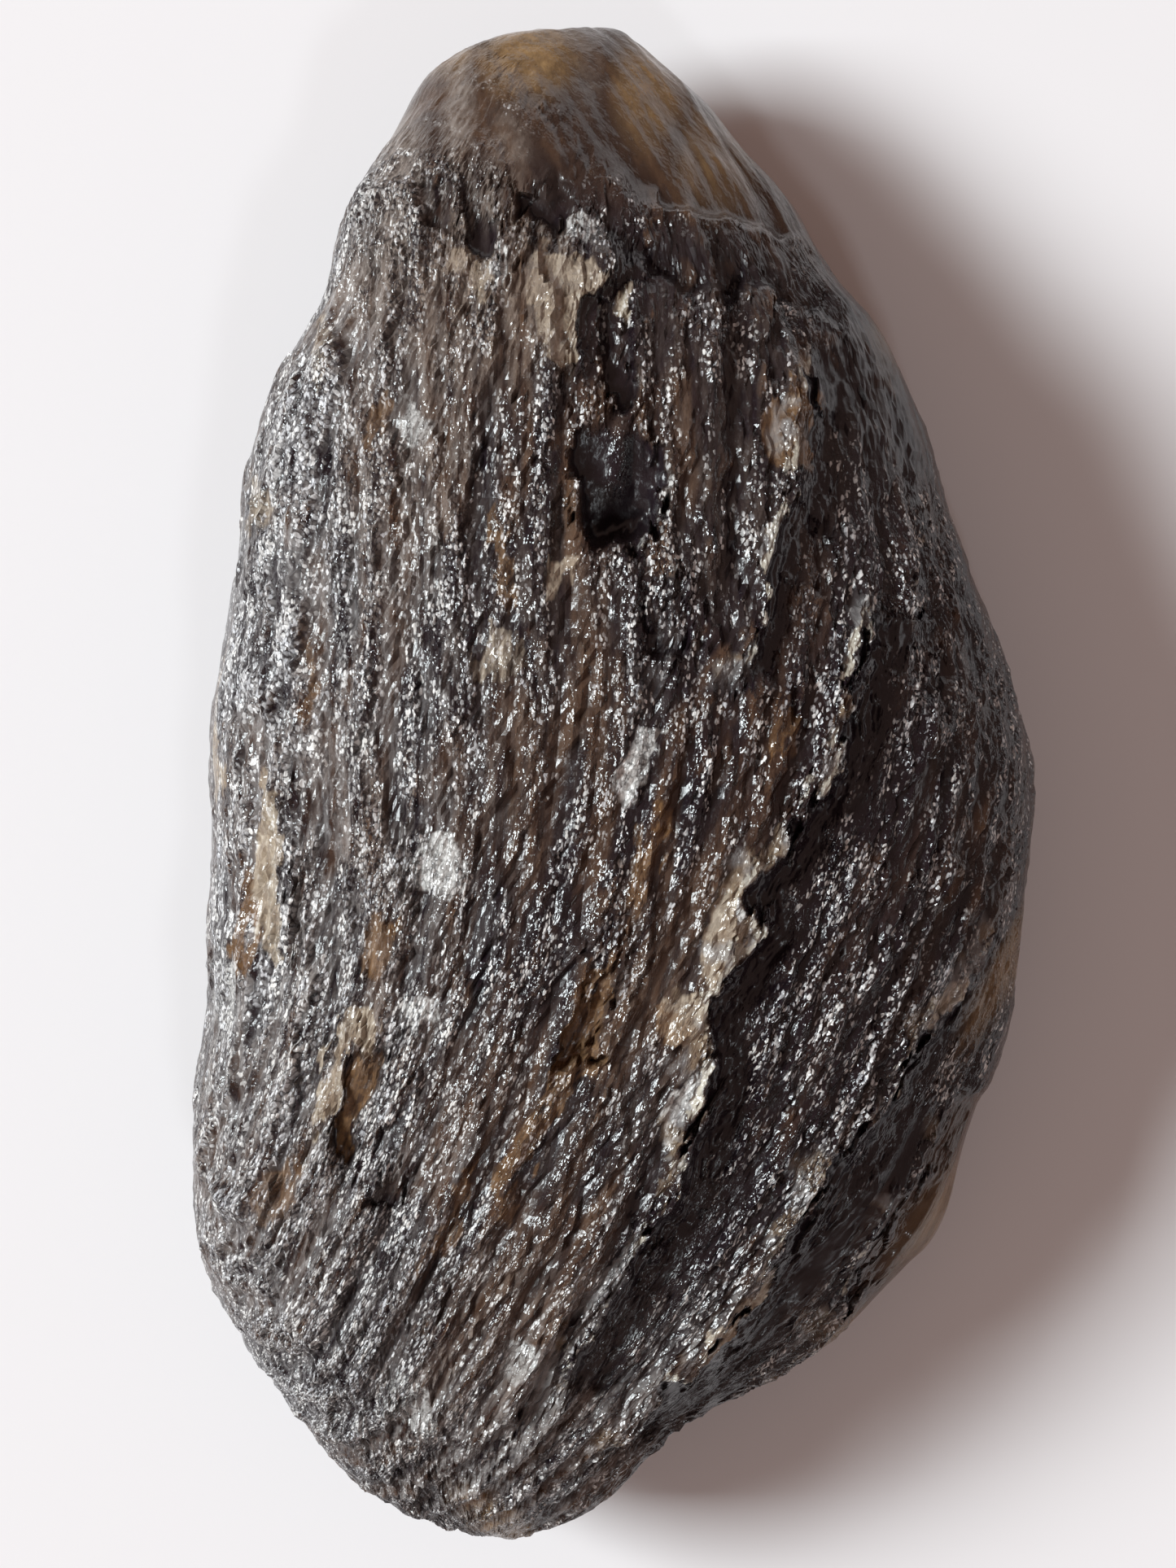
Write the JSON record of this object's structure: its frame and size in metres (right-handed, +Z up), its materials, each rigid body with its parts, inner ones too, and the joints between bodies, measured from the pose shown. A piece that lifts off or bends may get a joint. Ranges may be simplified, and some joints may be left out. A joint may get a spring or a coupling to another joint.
{
  "type": "natural glass stone",
  "caption": "Elongated natural glass stone with a domed, flaky upper face, stepped ledges along its grain and a chipped end; it lies on a worn flat patch",
  "frame": {"origin": "on the resting surface, under the middle of the stone's box", "axes": "+Z up from the resting patch, +Y along the stone towards its narrow chipped end, +X towards the side with the stepped ledges"},
  "size_m": [0.0234, 0.042, 0.0145],
  "materials": {
    "smoky_glass": "flaky, glittering, smoky brown to black, translucent where thin"
  },
  "bodies": {
    "root": {"stone": "smoky_glass"}
  },
  "joints": []
}
